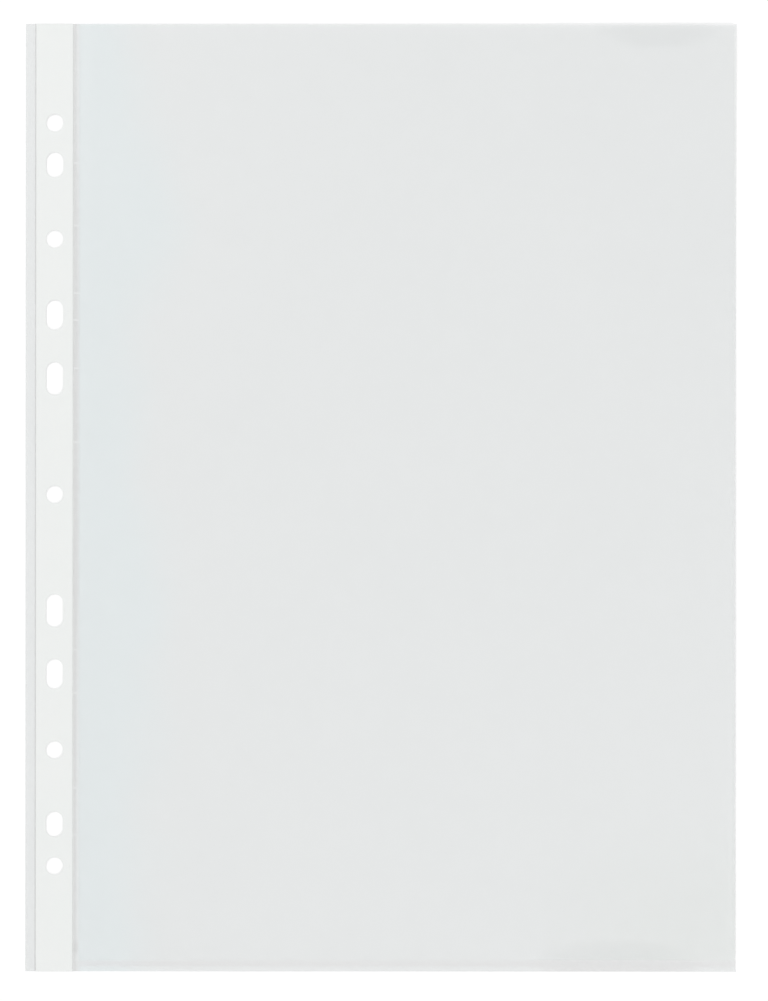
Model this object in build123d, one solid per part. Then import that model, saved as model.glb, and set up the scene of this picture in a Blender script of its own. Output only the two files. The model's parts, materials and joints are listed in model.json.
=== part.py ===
"""A sheet protector: a flat pocket of clear film, open at the top, with a punched white binding strip.

Millimetres. The sheet lies on its back film. X runs from the binding margin to the folded side, Y runs
towards the open mouth, Z runs up out of the front film. The origin is the middle of the back face.
"""
from build123d import *
import os

# Paper that the pocket holds, and the room around it
paper_width = 210.0
paper_length = 297.0
paper_side_room = 1.2
paper_head_room = 5.3

# Film and strip thickness
film_thickness = 0.12
strip_thickness = 0.20

# Widths of the bands along the edges
edge_weld_width = 3.35
strip_width = 11.9
side_weld_width = 2.05
fold_width = 1.0
bottom_weld_width = 3.7

# Front film's gap to the side weld and to the fold, so that it can lift
lift_clearance = 0.4

# Ring holes: round holes, and slots of the same width whose straight part lets a ring sit anywhere in it
hole_diameter = 5.5
inner_slot_straight = 5.0
second_slot_straight = 4.0
outer_slot_straight = 2.5

# Steps along the row of holes, the same both ways from the middle hole
middle_hole_to_inner_slot = 37.5
inner_slot_to_second_slot = 20.5
second_slot_to_side_hole = 24.5
side_hole_to_outer_slot = 24.0
outer_slot_to_end_hole = 13.5

# The row of holes sits a little inwards of the strip's middle and a little towards the mouth
hole_row_inwards = 0.1
hole_row_upwards = 1.0

# Heights through the stack
strip_level = film_thickness
front_level = strip_level + strip_thickness
stack_height = front_level + film_thickness

# Whole sheet
binding_width = edge_weld_width + strip_width + side_weld_width
pocket_width = paper_width + paper_side_room
sheet_width = binding_width + pocket_width + fold_width
sheet_height = bottom_weld_width + paper_length + paper_head_room

# Lines across the sheet
left = -sheet_width / 2
strip_left = left + edge_weld_width
strip_right = strip_left + strip_width
crease = strip_right + side_weld_width
fold_left = crease + pocket_width
right = fold_left + fold_width

# Lines along the sheet
bottom = -sheet_height / 2
weld_top = bottom + bottom_weld_width
mouth = sheet_height / 2

# Row of holes
hole_row_x = strip_left + strip_width / 2 + hole_row_inwards
hole_row_y = (bottom + mouth) / 2 + hole_row_upwards
inner_slot_step = middle_hole_to_inner_slot
second_slot_step = inner_slot_step + inner_slot_to_second_slot
side_hole_step = second_slot_step + second_slot_to_side_hole
outer_slot_step = side_hole_step + side_hole_to_outer_slot
end_hole_step = outer_slot_step + outer_slot_to_end_hole


def plate(x_low, x_high, y_low, y_high, z_low, thickness):
    """A flat rectangle of film or weld between the given lines."""
    corner = Pos(x_low, y_low, z_low)
    return corner * Box(x_high - x_low, y_high - y_low, thickness, align=(Align.MIN,) * 3)


def ring_holes():
    """The row of holes, each as a flat sketch."""
    middle = Pos(hole_row_x, hole_row_y)
    holes = [middle * Circle(hole_diameter / 2)]
    for side in (-1, 1):
        for step in (side_hole_step, end_hole_step):
            holes.append(middle * Pos(0, side * step) * Circle(hole_diameter / 2))
        for step, straight in (
            (inner_slot_step, inner_slot_straight),
            (second_slot_step, second_slot_straight),
            (outer_slot_step, outer_slot_straight),
        ):
            slot = SlotCenterToCenter(straight, hole_diameter, rotation=90)
            holes.append(middle * Pos(0, side * step) * slot)
    return holes


def punched_layer(z_low, thickness):
    """One layer of the binding margin, as wide as the strip, with the row of holes through it."""
    strip_middle = Pos((strip_left + strip_right) / 2, (bottom + mouth) / 2)
    outline = strip_middle * Rectangle(strip_width, sheet_height)
    return extrude(Pos(0, 0, z_low) * (outline - ring_holes()), amount=thickness)


def folded_edge():
    """The creased side of the film: a narrow bar as thick as the stack, round on its free edge."""
    radius = stack_height / 2
    round_from = fold_width - radius
    outline = [
        Line((0, 0), (round_from, 0)),
        ThreePointArc((round_from, 0), (fold_width, radius), (round_from, stack_height)),
        Line((round_from, stack_height), (0, stack_height)),
        Line((0, stack_height), (0, 0)),
    ]
    profile = Plane((fold_left, weld_top, 0), x_dir=(1, 0, 0), z_dir=(0, -1, 0)) * make_face(outline)
    return extrude(profile, amount=mouth - weld_top, dir=(0, 1, 0))


pieces = {
    # Binding margin: the strip sealed between two layers of film, with a weld along each side
    "edge_weld": plate(left, strip_left, bottom, mouth, 0, stack_height),
    "margin_back_film": punched_layer(0, film_thickness),
    "reinforcing_strip": punched_layer(strip_level, strip_thickness),
    "margin_front_film": punched_layer(front_level, film_thickness),
    "side_weld": plate(strip_right, crease, bottom, mouth, 0, stack_height),
    # Pocket: the back film, closed along the bottom and folded over at the right
    "pocket_back_film": plate(crease, fold_left, weld_top, mouth, 0, film_thickness),
    "bottom_weld": plate(crease, right, bottom, weld_top, 0, stack_height),
    "right_fold": folded_edge(),
    # Front film: lifts away from the back film to open the mouth
    "pocket_front_film": plate(
        crease + lift_clearance, fold_left - lift_clearance, weld_top, mouth, front_level, film_thickness
    ),
}

os.makedirs("parts", exist_ok=True)
for name, shape in pieces.items():
    shape.label = name
    export_step(shape, f"parts/{name}.step")

print(f"sheet {sheet_width:.2f} x {sheet_height:.2f} x {stack_height:.2f} mm")
print(f"crease at x {crease:.2f}, mouth hinge at y {weld_top:.2f}")
print(f"middle hole at x {hole_row_x:.2f}, y {hole_row_y:.2f}")
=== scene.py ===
import json
import math

import bpy
import numpy as np
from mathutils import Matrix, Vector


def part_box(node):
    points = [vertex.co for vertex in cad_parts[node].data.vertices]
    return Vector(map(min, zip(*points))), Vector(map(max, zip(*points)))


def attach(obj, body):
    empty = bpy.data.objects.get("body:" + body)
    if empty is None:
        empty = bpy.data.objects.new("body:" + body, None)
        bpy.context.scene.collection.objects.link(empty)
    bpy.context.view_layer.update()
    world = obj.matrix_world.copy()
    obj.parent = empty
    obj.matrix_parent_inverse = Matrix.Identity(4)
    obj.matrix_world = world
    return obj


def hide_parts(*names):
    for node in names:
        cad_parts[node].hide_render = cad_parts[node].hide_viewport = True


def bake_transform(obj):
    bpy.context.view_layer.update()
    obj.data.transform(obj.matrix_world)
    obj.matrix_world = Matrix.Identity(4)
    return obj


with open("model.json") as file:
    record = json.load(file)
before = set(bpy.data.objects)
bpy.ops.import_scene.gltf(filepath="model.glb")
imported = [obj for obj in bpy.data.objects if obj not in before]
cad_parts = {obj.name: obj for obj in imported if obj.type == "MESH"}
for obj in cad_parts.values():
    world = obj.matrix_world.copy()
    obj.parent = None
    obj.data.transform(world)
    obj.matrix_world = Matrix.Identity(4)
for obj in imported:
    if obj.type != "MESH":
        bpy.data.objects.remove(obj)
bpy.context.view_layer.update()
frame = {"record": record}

# The looks of a sheet protector that lies on a table. Metres, in the frame's axes: X runs from the binding
# margin to the fold, Y towards the open mouth and Z up. Each piece is a thin closed mesh. Its finish knows
# where on the sheet each point lies, in millimetres, so plain lengths that shape a finish are in millimetres.
MM = 0.001
WHITE = (1, 1, 1, 1)

# The picture that the view follows: its size, its scale and where the middle of the sheet is in it, in pixels
PICTURE_WIDTH = 768
PICTURE_HEIGHT = 1001
PIXELS_PER_MM = 3.0948
SHEET_MIDDLE_X = 380.8
SHEET_MIDDLE_Y = 497.8
SHEET_TURN = math.radians(0.045)
LENS = 85.0
SENSOR = 36.0

# Lines across the sheet, lines along it and levels through it
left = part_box("edge_weld")[0].x
strip_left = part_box("reinforcing_strip")[0].x
strip_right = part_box("reinforcing_strip")[1].x
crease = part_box("side_weld")[1].x
fold_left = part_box("right_fold")[0].x
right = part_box("right_fold")[1].x
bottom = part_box("bottom_weld")[0].y
weld_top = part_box("bottom_weld")[1].y
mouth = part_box("pocket_back_film")[1].y
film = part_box("pocket_back_film")[1].z
front_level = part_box("margin_front_film")[0].z
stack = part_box("side_weld")[1].z
fused = 2 * film

# How the pocket lies: two sets of waves, counted across and along it, that grow over a share of its width,
# and a corner that rises beyond these shares of its width and length
WAVE_HEIGHT = 0.25 * MM
LONG_WAVES = (1.3, 0.6)
CROSS_WAVES = (0.7, -1.7)
CROSS_WAVE_SHIFT = 0.3
WAVE_GROWTH = 0.3
CORNER_LIFT = 0.5 * MM
CORNER_ACROSS = 0.6
CORNER_ALONG = 0.75

# Air between the pocket's two films: the gap, how far from a weld and from the crease it is full, the share
# of it that is left at the fold, how open the fold is at its foot, and the mouth's bulge with its ripples
AIR_GAP = 0.2 * MM
FILM_SLOPE = 1.5 * MM
CREASE_SLOPE = 4.5 * MM
FOLD_PINCH = 0.3
FOLD_FOOT = 0.1
MOUTH_BULGE = 1.0 * MM
BULGE_POWER = 1.5
RIPPLE_SHARE = 0.25
RIPPLES = (2.2, 0.9)

# How far each film's mouth edge draws away from the other, how far in from the sheet's right edge that starts
# and the length over which it grows
MOUTH_STEP = 0.45 * MM
MOUTH_STEP_INWARDS = 74.75 * MM
MOUTH_STEP_GROWTH = 20.0 * MM

# Band beside the crease, with lines closer together than in the rest of the pocket's film
BEND_WIDTH = 7.0 * MM

# Lines where two pieces of film meet, and how near to a line an edge lies on it
bend_end = crease + BEND_WIDTH
middle_x = (bend_end + fold_left) / 2
joint_lines = (strip_left, strip_right, crease, bend_end, middle_x, fold_left)
ON_LINE = 0.01 * MM

# Welds: the step beside the strip, the pressed seams, their ribs, the marks of the sealing bar and the beads
# along the seams' edges. Values in pairs are the ends of a range for random draws.
STEP_WIDTH = 0.45 * MM
SIDE_SEAM_WIDTH = 1.3 * MM
BOTTOM_SEAM_START = 1.5 * MM
BOTTOM_SEAM_END = 3.4 * MM
SEAM_SOFT = 0.2 * MM
PRESS_DEPTH = 0.04 * MM
RIB_PITCH = 0.55 * MM
RIB_HEIGHT = 0.03 * MM
RIB_STRENGTHS = (0.3, 1.0)
BAR_MARK_PITCH = 16.5 * MM
BAR_MARK_WIDTH = 0.5 * MM
BAR_MARK_SHIFTS = (-0.1, 0.1)
BAR_MARK_STRENGTHS = (0.3, 1.0)
BEAD_PITCH = 4.0 * MM
BEAD_HEIGHT = 0.04 * MM
BEAD_WIDTH = 0.18 * MM
BEAD_LENGTHS = (0.3, 1.2)
BEAD_STRENGTHS = (0.4, 1.0)
SIDE_SEED = 7
BOTTOM_SEED = 11

# A fine ridge along the edge weld
RIDGE_OFFSET = 2.3 * MM
RIDGE_WIDTH = 0.15 * MM
RIDGE_HEIGHT = RIB_HEIGHT / 2

# Punched holes: their rolled rims, the gap between the layers, the rings of points around each hole and the
# room that those take
RIM_WIDTH = 0.35 * MM
RIM_DROP = 0.04 * MM
LAYER_GAP = 0.004 * MM
RING_STEPS = (0, 0.06 * MM, 0.15 * MM, 0.3 * MM, 0.5 * MM)
RING_SHARES = (0.4, 0.7)
RING_ROOM = 2.5 * MM
FAR_FROM_RIM = 1.0
hole_row_x = next(m for m in frame["record"]["mounts"] if m["kind"] == "bore")["pos_m"][0]

# How far apart the lines of the meshes are, and the angle from which an edge is sharp
FILM_SPACING = 3.0 * MM
BEND_SPACING = 0.3 * MM
STRIP_SPACING = 0.5 * MM
RIB_SPACING = RIB_PITCH / 4
SIDE_WELD_SPACING = 0.1 * MM
BOTTOM_WELD_SPACING = 0.15 * MM
EDGE_WELD_SPACING = 0.4 * MM
EDGE_WELD_LENGTH_SPACING = 2.0 * MM
EDGE_STEP_SPACING = 0.08 * MM
EDGE_STEP_ROOM = 1.2 * MM
FOLD_TURNS = 13
SHARP_ANGLE = math.radians(40)

# Colours of the film, plain, fused (its seams carrying painted shade too), pressed on to the strip and inside
# the pocket, and of the strip; and the painted light on the step down from the strip
FILM_GREY = (0.585, 0.62, 0.62, 1)
FILM_BLUER_GREY = (0.53, 0.63, 0.645, 1)
FILM_DARKER_GREY = (0.545, 0.59, 0.57, 1)
# Greys of the seams' haze and of the painted shade beside the strip
SEAM_AND_SHADE_GREY = (0.52, 0.53, 0.53, 1)
SEAM_AND_SHADE_BLUER_GREY = (0.50, 0.54, 0.56, 1)
# Painted light on the step down from the strip, over the shadow the strip casts
STEP_PAINTED_LIGHT_WHITE = (0.9, 0.92, 0.91, 1)
PRESSED_GREYS = ((0.72, 0.74, 0.74, 1), (0.76, 0.77, 0.76, 1))
INNER_GREYS = ((0.58, 0.61, 0.61, 1), (0.62, 0.63, 0.63, 1))
STRIP_WHITES = ((0.88, 0.905, 0.89, 1), (0.90, 0.91, 0.90, 1))
SPECK_GREY = (0.6, 0.6, 0.58, 1)

# Veils, the share of the view that the film hides when seen square on: least and most, or plain and in the
# seam, where the welds' seam values carry painted shade too. The last two are added beside the crease, as
# painted shade, and in the darker places.
FILM_VEIL = (0.184, 0.192)
PRESSED_VEIL = (0.055, 0.065)
EDGE_WELD_AND_SHADE_VEIL = (0.180, 0.24)
SIDE_WELD_AND_SHADE_VEIL = (0.185, 0.235)
BOTTOM_WELD_VEIL = (0.180, 0.188)
CREASE_SHADE_VEIL = 0.025
SHADE_VEIL = 0.035

# Film's gloss: how strongly it mirrors for the little that its veil hides, and how much more its outer and
# inner faces hide at a glance
FILM_GLOSS_IOR = 2.4
OUTER_GLANCE = 0.06
INNER_GLANCE = 0.26
GLANCE_POWER = 3.0

# Roughness, least and most, and the depth and strength of the grain
FILM_ROUGHNESS = (0.30, 0.36)
FILM_GRAIN_DEPTH = 0.02 * MM
FILM_GRAIN_STRENGTH = 0.5
STRIP_ROUGHNESS = (0.40, 0.52)
STRIP_GRAIN_DEPTH = 0.01 * MM
STRIP_GRAIN_STRENGTH = 0.4

# Clouds: how many to a millimetre and how detailed, and the two values that nearly all of them lie between
FILM_CLOUDS = (0.02, 1.0)
FILM_GRAIN = (2.2, 0.0)
BLUE_BAND_CLOUDS = (0.016, 2.0)
PRESSED_CLOUDS = (0.15, 1.0)
INNER_CLOUDS = (0.05, 1.0)
WELD_BLOTCHES = (0.5, 2.0)
WELD_SMUDGES = (1.1, 1.0)
STRIP_MOTTLE = (0.08, 3.0)
STRIP_STREAKS = (0.8, 2.0)
STREAK_STRETCH = (1.5, 0.05, 1.0)
STRIP_GRAIN = (1.5, 2.0)
CLOUD_LOW = 0.3
CLOUD_HIGH = 0.7

# Squared distances from the middle of an oval patch where it ends and where it is full
PATCH_END = 1.2
PATCH_FULL = 0.1

# Where the film's bluer band starts to fade and ends, from the crease, how far that wanders, and the width of
# its soft side on the crease
BLUE_BAND_START = 10.0
BLUE_BAND_END = 34.0
BLUE_BAND_WANDER = 60.0
BLUE_BAND_SOFT = 0.1

# The darker low corner: how far in from the right edge and up from the bottom it starts and is full
LOW_CORNER_INWARDS = (74.75, 14.75)
LOW_CORNER_UPWARDS = (63.0, 13.0)

# The film's veil beside the weld, painted shade where the front film slopes up from the crease: how far past
# the crease it ends, and how far before it it is full
CREASE_SHADE_END = 0.8
CREASE_SHADE_FULL = 0.4

# Faintly darker places near the fold: how far in from the right edge, half as wide and half as deep. The
# lower one lies a little above the bottom, and is this much stronger in the weld.
MOUTH_SHADE_INWARDS = 25.0
MOUTH_SHADE_WIDTH = 21.0
LOW_SHADE_INWARDS = 38.0
LOW_SHADE_WIDTH = 28.0
LOW_SHADE_HEIGHT = 2.0
LOW_SHADE_IN_WELD = 1.5
SHADE_DEPTH = 9.0

# Side seam's haze, with painted shade beside the strip: where it rises, starts to fade and ends, from the
# strip, how much that wavers, and how much narrower it gets over these shares of the sheet's upper and lower
# half
SEAM_RISE = (-0.3, 0.6)
SEAM_FADE_START = 1.5
SEAM_FADE_END = 3.4
SEAM_WAVER = 1.2
SEAM_TAPER = 0.6
SEAM_TAPER_UP = (0.4, 0.95)
SEAM_TAPER_DOWN = (0.1, 0.6)

# Light marks of the sealing bar across that haze, in shares of their pitch: where each ends and is full, and
# how unevenly they lie. Marks whose own random value is below the pair are left out.
BAR_MARK_END = 0.022
BAR_MARK_FULL = 0.012
BAR_MARK_UNEVENNESS = 0.6
BAR_MARK_CHANCE = (0.3, 0.4)
BAR_MARK_LIGHTNESS = 0.7

# A darker spot in the side weld: from the strip, above the sheet's bottom, half as wide and half as deep
FOOT_SPOT_ACROSS = 0.7
FOOT_SPOT_HEIGHT = 8.0
FOOT_SPOT_WIDTH = 1.4
FOOT_SPOT_DEPTH = 2.2
FOOT_SPOT_STRENGTH = 0.7

# Painted shade of the edge weld, where its film steps up on to the strip: how far before the strip it starts
# and is full; and the soft sides of the haze of the bottom seam
EDGE_SHADE_START = 0.5
EDGE_SHADE_FULL = 0.2
BOTTOM_SEAM_SOFT = 0.4

# Smudges in the seams: the cloud values at which one starts and is full, and how much more it hides
SMUDGE_START = 0.58
SMUDGE_FULL = 0.70
SMUDGE_STRENGTH = 0.3

# Painted light on the step down from the strip, over the strip's shadow: where it ends and is full, and its
# share at the sheet's bottom
STEP_PAINTED_LIGHT_END = 0.5
STEP_PAINTED_LIGHT_FULL = 0.1
STEP_PAINTED_LIGHT_LEAST = 0.5

# Specks in the strip: how many to a millimetre, where each ends and is full, and how dark it is
SPECKS = 0.22
SPECK_END = 0.07
SPECK_FULL = 0.04
SPECK_STRENGTH = 0.25

# Table: half its width, how far below the sheet it lies, its grey, the glow added where it is seen, how far
# from the middle it starts to fade into plain white and ends, how fully, and how much that white lights
FLOOR_SIZE = 4.0
FLOOR_DROP = 0.03 * MM
FLOOR_GREY = (0.82, 0.82, 0.82, 1)
FLOOR_GLOW = 0.24
FLOOR_FADE_START = 0.4
FLOOR_FADE_END = 0.9
FLOOR_FADE_SHARE = 0.98
FAR_FLOOR_LIGHT = 0.7

# Studio: soft light from all round and two soft boxes, and the most layers of film that are seen through
SOFT_LIGHT = 0.6
LAMP_SIZE = 1.7
KEY_PLACE = (-2.0, 1.8, 3.3)
KEY_POWER = 49.5
FILL_PLACE = (2.1, -1.8, 3.3)
FILL_POWER = 43.0
MOST_LAYERS = 32


def smooth(share):
    """0 to 1 with soft ends."""
    share = np.clip(share, 0, 1)
    return share * share * (3 - 2 * share)


def bump_at(value, middle, width):
    """A soft hump of height 1."""
    return np.exp(-(((value - middle) / width) ** 2))


# Heights of the sheet as it lies


def wave(across, along, counts, shift=0.0):
    """A sine wave with so many waves across and along the pocket."""
    return np.sin(2 * np.pi * (counts[0] * across + counts[1] * along + shift))


def lift(x, y):
    """How far the back of the sheet is off the table: not at all by the margin, a little further right."""
    across = np.clip((x - crease) / (right - crease), 0, 1)
    along = (y - bottom) / (mouth - bottom)
    waves = (2 + wave(across, along, LONG_WAVES) + wave(across, along, CROSS_WAVES, CROSS_WAVE_SHIFT)) / 4
    corner_up = smooth((along - CORNER_ALONG) / (1 - CORNER_ALONG))
    corner = corner_up * smooth((across - CORNER_ACROSS) / (1 - CORNER_ACROSS))
    return smooth(across / WAVE_GROWTH) * (WAVE_HEIGHT * waves + CORNER_LIFT * corner)


def air(x, y):
    """Gap between the two films: none at the welds, little at the fold, most in the middle of the mouth."""
    across = np.clip((x - crease) / (fold_left - crease), 0, 1)
    along = np.clip((y - weld_top) / (mouth - weld_top), 0, 1)
    off_weld = smooth((x - crease) / CREASE_SLOPE) * smooth((y - weld_top) / FILM_SLOPE)
    off_fold = FOLD_PINCH + (1 - FOLD_PINCH) * smooth((fold_left - x) / FILM_SLOPE)
    ripple = 1 + RIPPLE_SHARE * wave(across, along, RIPPLES)
    bulge = MOUTH_BULGE * np.sin(np.pi * across) * np.sin(np.pi / 2 * along) ** BULGE_POWER * ripple
    return AIR_GAP * off_weld * off_fold + bulge


# Meshes


def even_lines(start, end, spacing):
    """Evenly spaced values from start to end, about that far apart."""
    return np.linspace(start, end, max(2, round((end - start) / spacing) + 1))


def joined_lines(first, second):
    """Two runs of values as one, where the second starts with the first's last value."""
    return np.concatenate([first[:-1], second])


def grid_plan(xs, ys):
    """Points and faces of a flat grid."""
    points = np.array([(x, y) for x in xs for y in ys])
    rows = len(ys)
    starts = [i * rows + j for i in range(len(xs) - 1) for j in range(rows - 1)]
    faces = [(k, k + rows, k + rows + 1, k + 1) for k in starts]
    return points, faces


def solid(name, points, faces, under, over, material, inner=None):
    """A thin closed piece: the plan's faces at the height over, turned faces at the height under, and walls.

    Inner is the side, "under" or "over", that faces into the pocket. That side, and the walls where the piece
    meets its neighbour, wear the inner finish.
    """
    count = len(points)
    corners = np.concatenate([np.column_stack([points, over]), np.column_stack([points, under])])
    open_edges = {}
    for face in faces:
        for edge in zip(face, face[1:] + face[:1]):
            if open_edges.pop(edge[::-1], None) is None:
                open_edges[edge] = True
    turned = [tuple(corner + count for corner in face[::-1]) for face in faces]
    walls = [(a, a + count, b + count, b) for a, b in open_edges]
    inside = [inner == "over"] * len(faces) + [inner == "under"] * len(faces)
    inside += [at_joint(points[a], points[b]) for a, b in open_edges]
    return piece(name, corners, list(faces) + turned + walls, material, inside)


def at_joint(first, second):
    """True if an edge lies on a line where two pieces of film meet."""
    across = any(abs(first[0] - x) + abs(second[0] - x) < ON_LINE for x in joint_lines)
    return across or abs(first[1] - weld_top) + abs(second[1] - weld_top) < ON_LINE


def piece(name, corners, faces, material, inside):
    """A mesh object that remembers where each point lies at rest, in millimetres, for its material.

    Inside says of each face whether it wears the inner finish.
    """
    mesh = bpy.data.meshes.new(name)
    mesh.from_pydata([tuple(corner) for corner in corners], [], faces)
    mesh.shade_smooth()
    mesh.set_sharp_from_angle(angle=SHARP_ANGLE)
    place = mesh.attributes.new("flat_place", "FLOAT_VECTOR", "POINT")
    place.data.foreach_set("vector", (np.asarray(corners) / MM).astype(np.float32).ravel())
    mesh.materials.append(material)
    mesh.materials.append(inner_finish)
    mesh.polygons.foreach_set("material_index", np.array(inside, dtype=np.int32))
    made = bpy.data.objects.new(name, mesh)
    bpy.context.scene.collection.objects.link(made)
    return made


def ring_holes():
    """(middle along the sheet, radius, straight length) of every hole, from the record's mounts."""
    holes = []
    for mount in frame["record"]["mounts"]:
        middle = mount["pos_m"][1]
        sizes = mount["dims"]
        if mount["kind"] == "bore":
            holes.append((middle, sizes["r_mm"] * MM, 0.0))
        elif "slot_length_mm" in sizes:
            radius = sizes["hole_r_mm"] * MM
            straight = sizes["slot_length_mm"] * MM - 2 * radius
            for side in (-1, 1):
                holes.append((middle + side * sizes["spacing_y_mm"] * MM / 2, radius, straight))
    return sorted(holes)


def edge_distance(across, along, radius, straight):
    """Distance from the middle of a hole to its edge, in the direction (across, along) of length 1."""
    half = straight / 2
    if radius * abs(along) <= half * abs(across):
        return radius / abs(across)
    return abs(along) * half + math.sqrt((along * half) ** 2 - half ** 2 + radius ** 2)


def punched_plan():
    """Points and faces of the strip's outline with the holes cut out, and each point's distance to a hole."""
    points, faces, rims = [], [], []
    known = {}
    xs = even_lines(strip_left, strip_right, STRIP_SPACING)

    def point(x, y, rim):
        key = (round(x / MM, 4), round(y / MM, 4))
        if key not in known:
            known[key] = len(points)
            points.append((x, y))
            rims.append(rim)
        return known[key]

    def plain_band(low, high):
        ys = even_lines(low, high, FILM_SPACING)
        for x_from, x_to in zip(xs, xs[1:]):
            for y_from, y_to in zip(ys, ys[1:]):
                around = ((x_from, y_from), (x_to, y_from), (x_to, y_to), (x_from, y_to))
                faces.append(tuple(point(x, y, FAR_FROM_RIM) for x, y in around))

    def hole_cell(middle, radius, straight, low, high):
        ys = even_lines(low, high, STRIP_SPACING)
        loop = [(x, low) for x in xs[:-1]] + [(xs[-1], y) for y in ys[:-1]]
        loop += [(x, high) for x in xs[:0:-1]] + [(xs[0], y) for y in ys[:0:-1]]
        spokes = []
        for x, y in loop:
            length = math.hypot(x - hole_row_x, y - middle)
            across, along = (x - hole_row_x) / length, (y - middle) / length
            edge = edge_distance(across, along, radius, straight)
            stops = [edge + step for step in RING_STEPS]
            stops += [edge + (length - edge) * share for share in RING_SHARES]
            spoke = [point(hole_row_x + across * d, middle + along * d, d - edge) for d in stops]
            spokes.append(spoke + [point(x, y, FAR_FROM_RIM)])
        for spoke, following in zip(spokes, spokes[1:] + spokes[:1]):
            for k in range(len(spoke) - 1):
                faces.append((spoke[k], spoke[k + 1], following[k + 1], following[k]))

    reached = bottom
    for middle, radius, straight in ring_holes():
        half = straight / 2 + radius + RING_ROOM
        plain_band(reached, middle - half)
        hole_cell(middle, radius, straight, middle - half, middle + half)
        reached = middle + half
    plain_band(reached, mouth)
    return np.array(points), faces, np.array(rims)


# Materials


def add_node(tree, kind, inputs=None, **settings):
    """A new node with these settings, and with values or links on these inputs."""
    node = tree.nodes.new(kind)
    for key, value in settings.items():
        setattr(node, key, value)
    for key, value in (inputs or {}).items():
        feed(tree, node.inputs[key], value)
    return node


def feed(tree, socket, value):
    """Link a socket to another one, or set its value."""
    if isinstance(value, bpy.types.NodeSocket):
        tree.links.new(value, socket)
    else:
        socket.default_value = value


class Finish:
    """A material with one Principled shader, and short ways to add the nodes that feed it."""

    def __init__(self, name):
        self.material = bpy.data.materials.new(name)
        self.material.use_nodes = True
        self.tree = self.material.node_tree
        self.tree.nodes.clear()
        self.shader = self.add("ShaderNodeBsdfPrincipled")
        self.add("ShaderNodeOutputMaterial", {"Surface": self.shader.outputs["BSDF"]})
        self.place = self.add("ShaderNodeAttribute", attribute_name="flat_place").outputs["Vector"]
        split = self.add("ShaderNodeSeparateXYZ", {"Vector": self.place})
        self.x = split.outputs["X"]
        self.y = split.outputs["Y"]

    def add(self, kind, inputs=None, **settings):
        return add_node(self.tree, kind, inputs, **settings)

    def set(self, **inputs):
        for key, value in inputs.items():
            feed(self.tree, self.shader.inputs[key.replace("_", " ")], value)

    def math(self, operation, *values):
        return self.add("ShaderNodeMath", dict(enumerate(values)), operation=operation).outputs[0]

    def step(self, value, start, end):
        """0 before start, 1 after end, soft between."""
        inputs = {"Value": value, "From Min": start, "From Max": end}
        return self.add("ShaderNodeMapRange", inputs, interpolation_type="SMOOTHSTEP").outputs["Result"]

    def band(self, value, start, end, soft):
        """1 between start and end, with soft sides."""
        rise = self.step(value, start - soft, start + soft)
        fall = self.step(value, end + soft, end - soft)
        return self.math("MULTIPLY", rise, fall)

    def patch(self, place_x, place_y, half_width, half_depth):
        """1 in the middle of an oval, 0 outside it, soft between."""
        across = self.math("MULTIPLY_ADD", self.x, 1 / half_width, -place_x / half_width)
        along = self.math("MULTIPLY_ADD", self.y, 1 / half_depth, -place_y / half_depth)
        apart = self.math("MULTIPLY_ADD", across, across, self.math("MULTIPLY", along, along))
        return self.step(apart, PATCH_END, PATCH_FULL)

    def noise(self, scale, detail, stretch=None):
        """Cloudy values about 0.5, with scale clouds to a millimetre."""
        place = self.place
        if stretch is not None:
            place = self.add("ShaderNodeMapping", {"Vector": place, "Scale": stretch}).outputs["Vector"]
        inputs = {"Vector": place, "Scale": scale, "Detail": detail}
        return self.add("ShaderNodeTexNoise", inputs).outputs["Fac"]

    def spread(self, value, low, high):
        """Cloudy values stretched to run from low to high."""
        inputs = {"Value": value, "From Min": CLOUD_LOW, "From Max": CLOUD_HIGH}
        inputs.update({"To Min": low, "To Max": high})
        return self.add("ShaderNodeMapRange", inputs).outputs["Result"]

    def mix(self, share, first, second):
        node = self.add("ShaderNodeMix", {0: share, 6: first, 7: second}, data_type="RGBA")
        return node.outputs[2]

    def glance(self, most):
        """0 when seen square on, growing to most when seen edge on."""
        facing = self.add("ShaderNodeLayerWeight", {"Blend": 0.5}).outputs["Facing"]
        return self.math("MULTIPLY", self.math("POWER", facing, GLANCE_POWER), most)

    def relief(self, height, depth, strength):
        inputs = {"Height": height, "Distance": depth, "Strength": strength}
        self.set(Normal=self.add("ShaderNodeBump", inputs).outputs["Normal"])


def add_film_looks(finish, clouds):
    """Grain and gloss of the film."""
    finish.relief(finish.noise(*FILM_GRAIN), FILM_GRAIN_DEPTH, FILM_GRAIN_STRENGTH)
    finish.set(Roughness=finish.spread(clouds, *FILM_ROUGHNESS), IOR=FILM_GLOSS_IOR)


def add_veil(finish, veil):
    """Haze of the film's outer faces. Veil is how much of the view they hide when seen square on."""
    finish.set(Alpha=finish.math("ADD", veil, finish.glance(OUTER_GLANCE)))


def film_grey(finish, grey, bluer):
    """Grey film, bluer in a band of the pocket beside the crease, whose far side wanders."""
    in_pocket = finish.step(finish.x, crease / MM - BLUE_BAND_SOFT, crease / MM)
    clouds = finish.noise(*BLUE_BAND_CLOUDS)
    wandering = finish.math("MULTIPLY_ADD", clouds, BLUE_BAND_WANDER, finish.x)
    side = crease / MM + BLUE_BAND_WANDER / 2
    near_crease = finish.step(wandering, side + BLUE_BAND_END, side + BLUE_BAND_START)
    return finish.mix(finish.math("MULTIPLY", in_pocket, near_crease), grey, bluer)


def low_shade(finish):
    """The darker place over the bottom weld."""
    place_x = right / MM - LOW_SHADE_INWARDS
    return finish.patch(place_x, bottom / MM + LOW_SHADE_HEIGHT, LOW_SHADE_WIDTH, SHADE_DEPTH)


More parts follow.
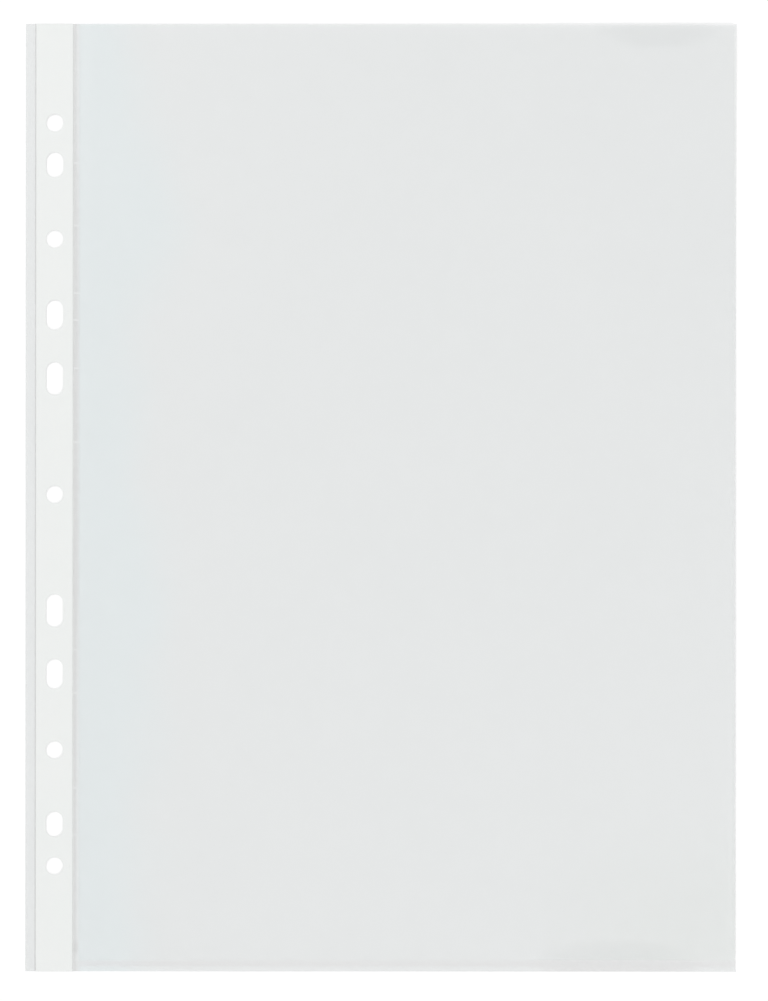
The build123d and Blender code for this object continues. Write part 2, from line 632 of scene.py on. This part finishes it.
def low_corner(finish):
    """0 over most of the sheet, growing to 1 at the low corner by the fold."""
    across = finish.step(finish.x, *(right / MM - inwards for inwards in LOW_CORNER_INWARDS))
    down = finish.step(finish.y, *(bottom / MM + upwards for upwards in LOW_CORNER_UPWARDS))
    return finish.math("MULTIPLY", across, down)


def clear_film():
    """The pocket's film: nearly clear, cool grey, bluer by the crease, with painted shade beside it, and
    darker at the low corner.
    """
    finish = Finish("clear_film")
    grey = film_grey(finish, FILM_GREY, FILM_BLUER_GREY)
    finish.set(Base_Color=finish.mix(low_corner(finish), grey, FILM_DARKER_GREY))
    clouds = finish.noise(*FILM_CLOUDS)
    # Painted shade beside the crease, where the front film slopes up from it
    shade_beside_weld = finish.step(finish.x, crease / MM + CREASE_SHADE_END, crease / MM - CREASE_SHADE_FULL)
    veil = finish.math("MULTIPLY_ADD", shade_beside_weld, CREASE_SHADE_VEIL, finish.spread(clouds, *FILM_VEIL))
    place_x = right / MM - MOUTH_SHADE_INWARDS
    mouth_shade = finish.patch(place_x, mouth / MM, MOUTH_SHADE_WIDTH, SHADE_DEPTH)
    shades = finish.math("ADD", mouth_shade, low_shade(finish))
    add_film_looks(finish, clouds)
    add_veil(finish, finish.math("MULTIPLY_ADD", shades, SHADE_VEIL, veil))
    return finish.material


def pressed_film():
    """The film over the strip: pressed on to it, so it hides less."""
    finish = Finish("pressed_film")
    clouds = finish.noise(*PRESSED_CLOUDS)
    finish.set(Base_Color=finish.mix(clouds, *PRESSED_GREYS))
    add_film_looks(finish, clouds)
    add_veil(finish, finish.spread(clouds, *PRESSED_VEIL))
    return finish.material


def inner_film():
    """The faces of the film inside the pocket, which only add to it when seen at a glance."""
    finish = Finish("inner_film")
    clouds = finish.noise(*INNER_CLOUDS)
    finish.set(Base_Color=finish.mix(clouds, *INNER_GREYS))
    add_film_looks(finish, clouds)
    finish.set(Alpha=finish.glance(INNER_GLANCE))
    return finish.material


def welded_film(name, seam_and_shade, veils, step_painted_light=0.0):
    """Two layers fused by heat: hazier along the seam, with painted shade beside the strip, a little uneven,
    with small smudges.

    The first function says where the seam's haze and painted shade are, and veils are the plain one and the
    seam's.
    The last argument is how strongly painted light whitens the film where it comes down from the strip, over
    the strip's shadow, most of all towards the mouth.
    """
    finish = Finish(name)
    plain_veil, seam_and_shade_veil = veils
    # Where the seam's haze and painted shade lie
    share = seam_and_shade(finish)
    smudges = finish.step(finish.noise(*WELD_SMUDGES), SMUDGE_START, SMUDGE_FULL)
    uneven_seam_and_shade = finish.math("MULTIPLY", share, finish.math("MULTIPLY_ADD", smudges, SMUDGE_STRENGTH, 1.0))
    plain = film_grey(finish, FILM_GREY, FILM_BLUER_GREY)
    grey = finish.mix(share, plain, film_grey(finish, SEAM_AND_SHADE_GREY, SEAM_AND_SHADE_BLUER_GREY))
    # Painted light: whiter where the film steps down from the strip, stronger towards the mouth, over the
    # strip's shadow
    step = finish.step(finish.x, strip_right / MM + STEP_PAINTED_LIGHT_END, strip_right / MM + STEP_PAINTED_LIGHT_FULL)
    upwards = finish.step(finish.y, bottom / MM, mouth / MM)
    painted_light_share = finish.math("MULTIPLY_ADD", upwards, 1 - STEP_PAINTED_LIGHT_LEAST, STEP_PAINTED_LIGHT_LEAST)
    painted_light_on_step = finish.math("MULTIPLY", finish.math("MULTIPLY", step, painted_light_share), step_painted_light)
    finish.set(Base_Color=finish.mix(painted_light_on_step, grey, STEP_PAINTED_LIGHT_WHITE))
    add_film_looks(finish, finish.noise(*WELD_BLOTCHES))
    add_veil(finish, finish.math("MULTIPLY_ADD", uneven_seam_and_shade, seam_and_shade_veil - plain_veil, plain_veil))
    return finish.material


def side_seam_and_shade(finish):
    """Haze and painted shade of the side seam: full beside the strip, fading out past the crease along a
    wavering line, with light marks across it.

    Towards both ends of the sheet it is a little narrower, and near its foot there is a darker spot.
    """
    start = strip_right / MM
    top_end = finish.step(finish.y, *(share * mouth / MM for share in SEAM_TAPER_UP))
    low_end = finish.step(finish.y, *(share * bottom / MM for share in SEAM_TAPER_DOWN))
    tapered = finish.math("MULTIPLY_ADD", finish.math("ADD", top_end, low_end), SEAM_TAPER, finish.x)
    wavering = finish.math("MULTIPLY_ADD", finish.noise(*WELD_BLOTCHES), SEAM_WAVER, tapered)
    fade = finish.step(wavering, start + SEAM_FADE_END, start + SEAM_FADE_START)
    rise = finish.step(finish.x, *(start + place for place in SEAM_RISE))
    inputs = {"W": finish.y, "Scale": MM / BAR_MARK_PITCH, "Randomness": BAR_MARK_UNEVENNESS}
    cells = finish.add("ShaderNodeTexVoronoi", inputs, voronoi_dimensions="1D").outputs
    thin = finish.step(cells["Distance"], BAR_MARK_END, BAR_MARK_FULL)
    marked = finish.math("MULTIPLY", thin, finish.step(cells["Color"], *BAR_MARK_CHANCE))
    between_marks = finish.math("MULTIPLY_ADD", marked, -BAR_MARK_LIGHTNESS, 1.0)
    # Seam haze and painted shade beside the strip, less under the light marks
    seam_and_shade = finish.math("MULTIPLY", finish.math("MULTIPLY", fade, rise), between_marks)
    place_y = bottom / MM + FOOT_SPOT_HEIGHT
    spot = finish.patch(start + FOOT_SPOT_ACROSS, place_y, FOOT_SPOT_WIDTH, FOOT_SPOT_DEPTH)
    return finish.math("MULTIPLY_ADD", spot, FOOT_SPOT_STRENGTH, seam_and_shade)


def edge_step_shade(finish):
    """Painted shade: a fine dark line right beside the strip, where the film steps up on to it."""
    # Painted shade where the film steps up on to the strip
    end = strip_left / MM
    return finish.step(finish.x, end - EDGE_SHADE_START, end - EDGE_SHADE_FULL)


def bottom_seam(finish):
    """A band above the plain lip, and the darker place near the fold."""
    start = (bottom + BOTTOM_SEAM_START) / MM
    end = (bottom + BOTTOM_SEAM_END) / MM
    band = finish.band(finish.y, start, end, BOTTOM_SEAM_SOFT)
    return finish.math("MULTIPLY_ADD", low_shade(finish), LOW_SHADE_IN_WELD, band)


def white_strip():
    """The strip: satin white, faintly mottled, with a few specks."""
    finish = Finish("white_strip")
    white = finish.mix(finish.noise(*STRIP_MOTTLE), *STRIP_WHITES)
    cells = finish.add("ShaderNodeTexVoronoi", {"Vector": finish.place, "Scale": SPECKS}).outputs
    specks = finish.step(cells["Distance"], SPECK_END, SPECK_FULL)
    finish.set(Base_Color=finish.mix(finish.math("MULTIPLY", specks, SPECK_STRENGTH), white, SPECK_GREY))
    streaks = finish.noise(*STRIP_STREAKS, STREAK_STRETCH)
    finish.set(Roughness=finish.spread(streaks, *STRIP_ROUGHNESS))
    finish.relief(finish.noise(*STRIP_GRAIN), STRIP_GRAIN_DEPTH, STRIP_GRAIN_STRENGTH)
    return finish.material


# Pieces of the binding margin


def edge_weld(material):
    """Fused film outside the strip: flat, with a fine ridge and a step up on to the strip."""
    step_from = strip_left - EDGE_STEP_ROOM
    xs = joined_lines(even_lines(left, step_from, EDGE_WELD_SPACING),
                      even_lines(step_from, strip_left, EDGE_STEP_SPACING))
    points, faces = grid_plan(xs, even_lines(bottom, mouth, EDGE_WELD_LENGTH_SPACING))
    x = points[:, 0]
    over = fused + (stack - fused) * smooth((x - strip_left + STEP_WIDTH) / STEP_WIDTH)
    over = over + RIDGE_HEIGHT * bump_at(x, left + RIDGE_OFFSET, RIDGE_WIDTH)
    return solid("edge_weld_band", points, faces, 0 * x, over, material)


def side_weld(material):
    """Fused film inside the strip: a step down from it, then a ribbed seam with beads along its edge."""
    xs = even_lines(strip_right, crease, SIDE_WELD_SPACING)
    points, faces = grid_plan(xs, even_lines(bottom, mouth, RIB_SPACING))
    x, y = points[:, 0], points[:, 1]
    across = x - strip_right
    over = fused + (stack - fused) * (1 - smooth(across / STEP_WIDTH))
    over = over + seam_relief(y, across, STEP_WIDTH, SIDE_SEAM_WIDTH, SIDE_SEED)
    return solid("side_weld_band", points, faces, 0 * x, over, material)


def seam_relief(along, across, start, end, seed):
    """Height of a seam's ribs, bar marks and edge beads over the flat film."""
    rng = np.random.default_rng(seed)
    rise = smooth((across - start + SEAM_SOFT) / SEAM_SOFT)
    pressed = rise * smooth((end + SEAM_SOFT - across) / SEAM_SOFT)
    low, high = along.min(), along.max()
    ribs = 0.5 + 0.5 * np.cos(2 * np.pi * along / RIB_PITCH)
    knots = np.arange(low, high + BAR_MARK_PITCH, BAR_MARK_PITCH / 4)
    strength = np.interp(along, knots, rng.uniform(*RIB_STRENGTHS, len(knots)))
    height = pressed * (RIB_HEIGHT * ribs * strength - PRESS_DEPTH)
    for mark in np.arange(low + BAR_MARK_PITCH / 2, high, BAR_MARK_PITCH):
        middle = mark + rng.uniform(*BAR_MARK_SHIFTS) * BAR_MARK_PITCH
        raised = pressed * PRESS_DEPTH * rng.uniform(*BAR_MARK_STRENGTHS)
        height += raised * bump_at(along, middle, BAR_MARK_WIDTH)
    for _ in range(int((high - low) / BEAD_PITCH)):
        middle = rng.uniform(low, high)
        length = rng.uniform(*BEAD_LENGTHS) * MM
        bead = bump_at(along, middle, length) * bump_at(across, end + SEAM_SOFT, BEAD_WIDTH)
        height += BEAD_HEIGHT * rng.uniform(*BEAD_STRENGTHS) * bead
    return height


def margin_layers(film_material, strip_material):
    """The strip between its two layers of film, all punched alike, with rolled rims at the holes."""
    points, faces, rims = punched_plan()
    rolled = RIM_DROP * (1 - smooth(rims / RIM_WIDTH))
    flat = 0 * rims
    back = solid("margin_back_layer", points, faces, flat, flat + film, film_material, inner="over")
    strip = solid("punched_strip", points, faces, flat + film + LAYER_GAP,
                  flat + front_level - LAYER_GAP - rolled, strip_material)
    front = solid("margin_front_layer", points, faces, flat + front_level - rolled,
                  flat + stack - rolled, film_material, inner="under")
    return back, strip, front


# Pieces of the pocket


def mouth_step(points):
    """How far the two films' mouth edges draw apart, each its own way: towards the fold only."""
    towards_fold = smooth((points[:, 0] - (right - MOUTH_STEP_INWARDS)) / MOUTH_STEP_GROWTH)
    return MOUTH_STEP * towards_fold * (points[:, 1] - weld_top) / (mouth - weld_top)


def back_sheet(material):
    """The back film, from the crease to the fold. Its mouth edge stands a little proud towards the fold."""
    xs = joined_lines(even_lines(crease, bend_end, BEND_SPACING),
                      even_lines(bend_end, fold_left, FILM_SPACING))
    points, faces = grid_plan(xs, even_lines(weld_top, mouth, FILM_SPACING))
    points[:, 1] += mouth_step(points)
    low = lift(points[:, 0], points[:, 1])
    return solid("pocket_back_sheet", points, faces, low, low + film, material, inner="over")


def front_sheet(name, xs, material):
    """A part of the front film over the given lines. Its mouth edge draws back a little towards the fold."""
    slope_end = weld_top + 2 * FILM_SLOPE
    ys = joined_lines(even_lines(weld_top, slope_end, BEND_SPACING),
                      even_lines(slope_end, mouth, FILM_SPACING))
    points, faces = grid_plan(xs, ys)
    points[:, 1] -= mouth_step(points)
    low = lift(points[:, 0], points[:, 1]) + film + air(points[:, 0], points[:, 1])
    return solid(name, points, faces, low, low + film, material, inner="under")


def bottom_weld(material):
    """The fused bottom: a plain lip and a ribbed seam."""
    xs = even_lines(crease, right, RIB_SPACING)
    points, faces = grid_plan(xs, even_lines(bottom, weld_top, BOTTOM_WELD_SPACING))
    x, y = points[:, 0], points[:, 1]
    low = lift(x, y)
    over = low + fused + seam_relief(x, y - bottom, BOTTOM_SEAM_START, BOTTOM_SEAM_END, BOTTOM_SEED)
    return solid("bottom_weld_band", points, faces, low, over, material)


def fold_bead(material):
    """The folded side: one film bent back on itself in a narrow round bead."""
    ys = even_lines(weld_top, mouth, FILM_SPACING)
    turns = np.linspace(-math.pi / 2, math.pi / 2, FOLD_TURNS)
    outer_radius = stack / 2
    nose = right - outer_radius
    count = len(turns) + 2
    corners, faces, inside = [], [], []

    def section(radius, low, high, centre):
        arc = [(nose + radius * math.cos(turn), centre + radius * math.sin(turn)) for turn in turns]
        return [(fold_left, low)] + arc + [(fold_left, high)]

    def face(points, inner):
        faces.append(points)
        inside.append(inner)

    for y in ys:
        opened = FOLD_FOOT + (1 - FOLD_FOOT) * smooth((y - weld_top) / FILM_SLOPE)
        pinch = AIR_GAP * FOLD_PINCH * opened
        radius = film + (outer_radius - film) * opened
        base = lift(np.array([fold_left]), np.array([y]))[0]
        outline = section(radius, 0.0, fused + pinch, radius)
        hollow = section(radius - film, film, film + pinch, radius)
        corners += [(x, y, z + base) for x, z in outline + hollow]
    for row in range(len(ys) - 1):
        a = row * 2 * count
        b = a + 2 * count
        for k in range(count - 1):
            face((a + k, b + k, b + k + 1, a + k + 1), False)
            face((a + count + k, a + count + k + 1, b + count + k + 1, b + count + k), True)
        face((a, a + count, b + count, b), True)
        face((a + count - 1, b + count - 1, b + 2 * count - 1, a + 2 * count - 1), True)
    last = (len(ys) - 1) * 2 * count
    for k in range(count - 1):
        face((k, k + 1, count + k + 1, count + k), True)
        face((last + k, last + count + k, last + count + k + 1, last + k + 1), False)
    return piece("fold_bead", corners, faces, material, inside)


# Stage


def rays_that_show(tree):
    """1 for rays that show the background: seen directly, mirrored or through glass."""
    path = add_node(tree, "ShaderNodeLightPath").outputs
    shown = path["Is Camera Ray"]
    for name in ("Is Glossy Ray", "Is Transmission Ray"):
        shown = add_node(tree, "ShaderNodeMath", {0: shown, 1: path[name]}, operation="MAXIMUM").outputs[0]
    return shown


def floor_finish():
    """Pale, lit as it is, with a little added where it is seen so that it reads as white.

    Far from the sheet it fades into plain white, so that no edge of it shows through the film.
    """
    material = bpy.data.materials.new("floor")
    material.use_nodes = True
    tree = material.node_tree
    tree.nodes.clear()
    shown = rays_that_show(tree)
    added = add_node(tree, "ShaderNodeMath", {0: shown, 1: FLOOR_GLOW}, operation="MULTIPLY")
    glow = add_node(tree, "ShaderNodeEmission", {"Strength": added.outputs[0]})
    pale = add_node(tree, "ShaderNodeBsdfDiffuse", {"Color": FLOOR_GREY})
    near = add_node(tree, "ShaderNodeAddShader", {0: pale.outputs[0], 1: glow.outputs[0]})
    lights = {0: shown, 1: 1 - FAR_FLOOR_LIGHT, 2: FAR_FLOOR_LIGHT}
    far_strength = add_node(tree, "ShaderNodeMath", lights, operation="MULTIPLY_ADD")
    far = add_node(tree, "ShaderNodeEmission", {"Strength": far_strength.outputs[0]})
    place = add_node(tree, "ShaderNodeNewGeometry").outputs["Position"]
    away = add_node(tree, "ShaderNodeVectorMath", {0: place}, operation="LENGTH").outputs["Value"]
    span = {"Value": away, "From Min": FLOOR_FADE_START, "From Max": FLOOR_FADE_END}
    span["To Max"] = FLOOR_FADE_SHARE
    fade = add_node(tree, "ShaderNodeMapRange", span, interpolation_type="SMOOTHSTEP").outputs["Result"]
    faded = add_node(tree, "ShaderNodeMixShader", {0: fade, 1: near.outputs[0], 2: far.outputs[0]})
    add_node(tree, "ShaderNodeOutputMaterial", {"Surface": faded.outputs[0]})
    material.cycles.emission_sampling = "NONE"
    return material


def floor():
    """The table under the sheet."""
    size, level = FLOOR_SIZE, -FLOOR_DROP
    corners = [(-size, -size, level), (size, -size, level), (size, size, level), (-size, size, level)]
    mesh = bpy.data.meshes.new("floor")
    mesh.from_pydata(corners, [], [(0, 1, 2, 3)])
    mesh.materials.append(floor_finish())
    made = bpy.data.objects.new("floor", mesh)
    bpy.context.scene.collection.objects.link(made)


def surroundings():
    """Soft light from all round, and plain white where the background is seen."""
    world = bpy.data.worlds.new("studio")
    world.use_nodes = True
    tree = world.node_tree
    tree.nodes.clear()
    soft = add_node(tree, "ShaderNodeBackground", {"Color": WHITE, "Strength": SOFT_LIGHT})
    white = add_node(tree, "ShaderNodeBackground", {"Color": WHITE})
    inputs = {0: rays_that_show(tree), 1: soft.outputs[0], 2: white.outputs[0]}
    either = add_node(tree, "ShaderNodeMixShader", inputs)
    add_node(tree, "ShaderNodeOutputWorld", {"Surface": either.outputs[0]})
    bpy.context.scene.world = world


def lamp(name, place, power):
    """A square soft box that points at the sheet."""
    data = bpy.data.lights.new(name, "AREA")
    data.size = LAMP_SIZE
    data.energy = power
    made = bpy.data.objects.new(name, data)
    made.location = place
    made.rotation_mode = "QUATERNION"
    made.rotation_quaternion = made.location.to_track_quat("Z", "Y")
    made.visible_camera = False
    bpy.context.scene.collection.objects.link(made)


def camera():
    """Straight down on to the sheet, framed as in the picture."""
    data = bpy.data.cameras.new("camera")
    data.lens = LENS
    data.sensor_width = SENSOR
    made = bpy.data.objects.new("camera", data)
    made.location.x = (PICTURE_WIDTH / 2 - SHEET_MIDDLE_X) / PIXELS_PER_MM * MM
    made.location.y = (SHEET_MIDDLE_Y - PICTURE_HEIGHT / 2) / PIXELS_PER_MM * MM
    made.location.z = PICTURE_HEIGHT / PIXELS_PER_MM * MM * data.lens / data.sensor_width
    made.rotation_euler.z = SHEET_TURN
    bpy.context.scene.collection.objects.link(made)
    bpy.context.scene.camera = made


# Whole object

film_finish = clear_film()
inner_finish = inner_film()
pressed_finish = pressed_film()
strip_finish = white_strip()

edge_band = edge_weld(welded_film("edge_weld_film", edge_step_shade, EDGE_WELD_AND_SHADE_VEIL))
side_band = side_weld(welded_film("side_weld_film", side_seam_and_shade, SIDE_WELD_AND_SHADE_VEIL, step_painted_light=1.0))
margin_back, strip, margin_front = margin_layers(pressed_finish, strip_finish)
pocket_back = back_sheet(film_finish)
bottom_band = bottom_weld(welded_film("bottom_weld_film", bottom_seam, BOTTOM_WELD_VEIL))
bead = fold_bead(film_finish)

front_bend = front_sheet("front_bend", even_lines(crease, bend_end, BEND_SPACING), film_finish)
front_left = front_sheet("front_sheet_left", even_lines(bend_end, middle_x, FILM_SPACING), film_finish)
fold_slope = fold_left - 2 * FILM_SLOPE
front_right_lines = joined_lines(even_lines(middle_x, fold_slope, FILM_SPACING),
                                 even_lines(fold_slope, fold_left, BEND_SPACING))
front_right = front_sheet("front_sheet_right", front_right_lines, film_finish)

for rider in (edge_band, side_band, margin_back, strip, margin_front):
    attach(rider, "binding_margin")
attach(bead, "pocket")
for bending in (pocket_back, bottom_band, front_bend):
    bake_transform(bending)
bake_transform(front_left)
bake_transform(front_right)

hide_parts("edge_weld")
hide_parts("margin_back_film")
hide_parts("reinforcing_strip")
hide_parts("margin_front_film")
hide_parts("side_weld")
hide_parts("pocket_back_film")
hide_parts("bottom_weld")
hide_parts("right_fold")
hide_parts("pocket_front_film")
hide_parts("pocket_front_film")

floor()
surroundings()
lamp("key", KEY_PLACE, KEY_POWER)
lamp("fill", FILL_PLACE, FILL_POWER)
camera()

bpy.context.scene.view_settings.view_transform = "Standard"
bpy.context.scene.cycles.transparent_max_bounces = MOST_LAYERS
